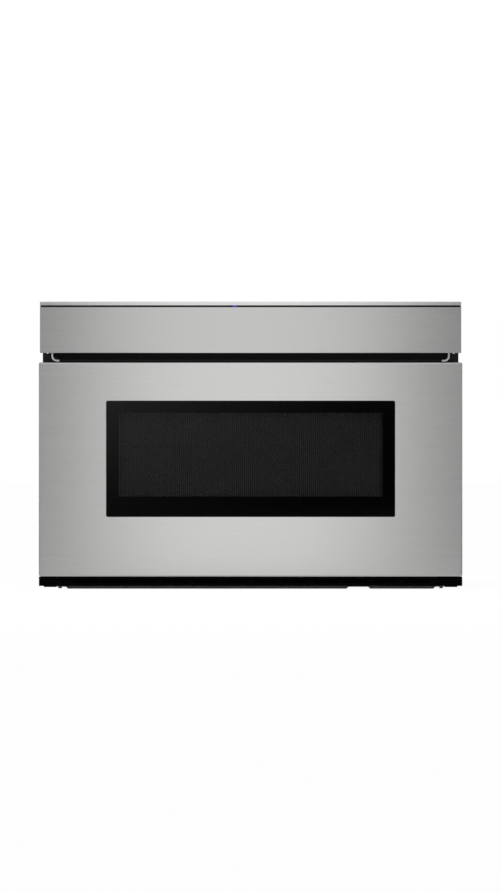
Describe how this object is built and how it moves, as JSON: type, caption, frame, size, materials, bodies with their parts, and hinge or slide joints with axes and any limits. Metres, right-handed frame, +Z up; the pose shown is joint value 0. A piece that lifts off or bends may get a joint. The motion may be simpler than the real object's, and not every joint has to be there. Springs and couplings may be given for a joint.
{
  "type": "microwave drawer",
  "caption": "Built-in microwave oven whose stainless drawer slides out on telescopic rails under a tilt-out touch control pod.",
  "frame": {"origin": "on the floor plane under the base skids, at the middle of the overall width and depth", "axes": "+X to the right seen from the front, -Y out of the drawer front, +Z up"},
  "size_m": [0.6064, 0.62, 0.4117],
  "materials": {
    "stainless": "fine horizontal brushing, satin",
    "zinc_steel": "zinc-coated sheet, dull",
    "grey_paint": "grey paint, semi-matt",
    "black_paint": "black paint, semi-matt",
    "black_plastic": "moulded, fine grain",
    "black_glass": "polished, dark printed back",
    "clear_glass": "polished",
    "enamel": "pale grey baked enamel",
    "mica": "pressed mica sheet",
    "ceramic": "glass-ceramic, polished",
    "white_plastic": "moulded acetal or nylon",
    "laminations": "varnished steel laminations",
    "aluminium": "plain sheet",
    "circuit_board": "solder-masked laminate",
    "blue_lens": "clear blue moulding"
  },
  "bodies": {
    "chassis": {"base_plate": "grey_paint", "outer_case": "zinc_steel", "rear_panel": "zinc_steel", "front_flange": "black_paint", "top_trim": "stainless", "vent_grille": "black_plastic", "end_cap_left": "black_plastic", "end_cap_right": "black_plastic", "cavity_shell": "enamel", "stirrer_cover": "mica", "waveguide": "aluminium", "stirrer_motor": "zinc_steel", "magnetron": "aluminium", "magnetron_antenna": "aluminium", "oven_lamp": "white_plastic", "hv_transformer": "laminations", "hv_capacitor": "aluminium", "control_board": "circuit_board", "noise_filter": "circuit_board", "cord_gland": "black_plastic", "fan_housing": "black_plastic", "fan_motor": "laminations", "air_duct": "black_plastic", "rail_bracket_left": "zinc_steel", "rail_bracket_right": "zinc_steel", "fixed_rail_left": "zinc_steel", "fixed_rail_right": "zinc_steel", "drive_motor": "laminations", "switch_holder_left": "white_plastic", "switch_holder_right": "white_plastic", "pod_cradle": "stainless", "pod_pivot_left": "zinc_steel", "pod_pivot_right": "zinc_steel", "pod_motor": "zinc_steel"},
    "drawer": {"door_skin": "stainless", "door_glass": "black_glass", "door_frame": "zinc_steel", "door_screen": "black_paint", "inner_glass": "clear_glass", "choke_cover": "black_plastic", "drawer_basket": "enamel", "ceramic_tray": "ceramic", "drawer_rail_left": "zinc_steel", "drawer_rail_right": "zinc_steel", "rack_left": "white_plastic", "rack_right": "white_plastic"},
    "middle_rail_left_body": {"middle_rail_left": "zinc_steel"},
    "middle_rail_right_body": {"middle_rail_right": "zinc_steel"},
    "drive_train": {"drive_shaft": "zinc_steel", "pinion_left": "white_plastic", "pinion_right": "white_plastic"},
    "latch_left": {"latch_hook_left": "white_plastic"},
    "latch_right": {"latch_hook_right": "white_plastic"},
    "stirrer": {"stirrer_fan": "aluminium"},
    "fan": {"fan_impeller": "black_plastic"},
    "control_pod": {"pod_fascia": "stainless", "pod_housing": "black_plastic", "touch_glass": "black_glass", "status_lens": "blue_lens"},
    "tilt_drive": {"pod_pinion": "white_plastic"}
  },
  "joints": [
    {"name": "drawer_slide", "type": "slide", "parent": "chassis", "child": "drawer", "axis": [0, -1, 0], "range_m": [0, 0.381]},
    {"name": "middle_rail_left_slide", "type": "slide", "parent": "chassis", "child": "middle_rail_left_body", "axis": [0, -1, 0], "range_m": [0, 0.1905]},
    {"name": "middle_rail_right_slide", "type": "slide", "parent": "chassis", "child": "middle_rail_right_body", "axis": [0, -1, 0], "range_m": [0, 0.1905]},
    {"name": "drive_shaft_spin", "type": "hinge", "parent": "chassis", "child": "drive_train", "pos_m": [0, -0.2226, 0.0285], "axis": [1, 0, 0], "range_deg": [-5, 1045]},
    {"name": "control_tilt", "type": "hinge", "parent": "chassis", "child": "control_pod", "pos_m": [0, -0.302, 0.3469], "axis": [1, 0, 0], "range_deg": [0, 45]},
    {"name": "tilt_pinion_spin", "type": "hinge", "parent": "chassis", "child": "tilt_drive", "pos_m": [0, -0.2704, 0.37341], "axis": [1, 0, 0], "range_deg": [-205, 5]},
    {"name": "fan_spin", "type": "hinge", "parent": "chassis", "child": "fan", "pos_m": [0, 0.23855, 0.251], "axis": [1, 0, 0], "continuous": true},
    {"name": "stirrer_spin", "type": "hinge", "parent": "chassis", "child": "stirrer", "pos_m": [0, -0.0382, 0.28], "axis": [0, 0, 1], "continuous": true},
    {"name": "latch_left_lift", "type": "hinge", "parent": "drawer", "child": "latch_left", "pos_m": [-0.262, -0.28, 0.205], "axis": [1, 0, 0], "range_deg": [0, 10], "stiffness_Nm_per_rad": 0.05, "springref_deg": -5.73},
    {"name": "latch_right_lift", "type": "hinge", "parent": "drawer", "child": "latch_right", "pos_m": [0.262, -0.28, 0.205], "axis": [1, 0, 0], "range_deg": [0, 10], "stiffness_Nm_per_rad": 0.05, "springref_deg": -5.73}
  ],
  "couplings": [
    {"joint": "middle_rail_left_slide", "follows": "drawer_slide", "ratio": 0.5},
    {"joint": "middle_rail_right_slide", "follows": "drawer_slide", "ratio": 0.5},
    {"joint": "drive_shaft_spin", "follows": "drawer_slide", "rad_per_m": 47.619},
    {"joint": "tilt_pinion_spin", "follows": "control_tilt", "ratio": -4.5}
  ]
}
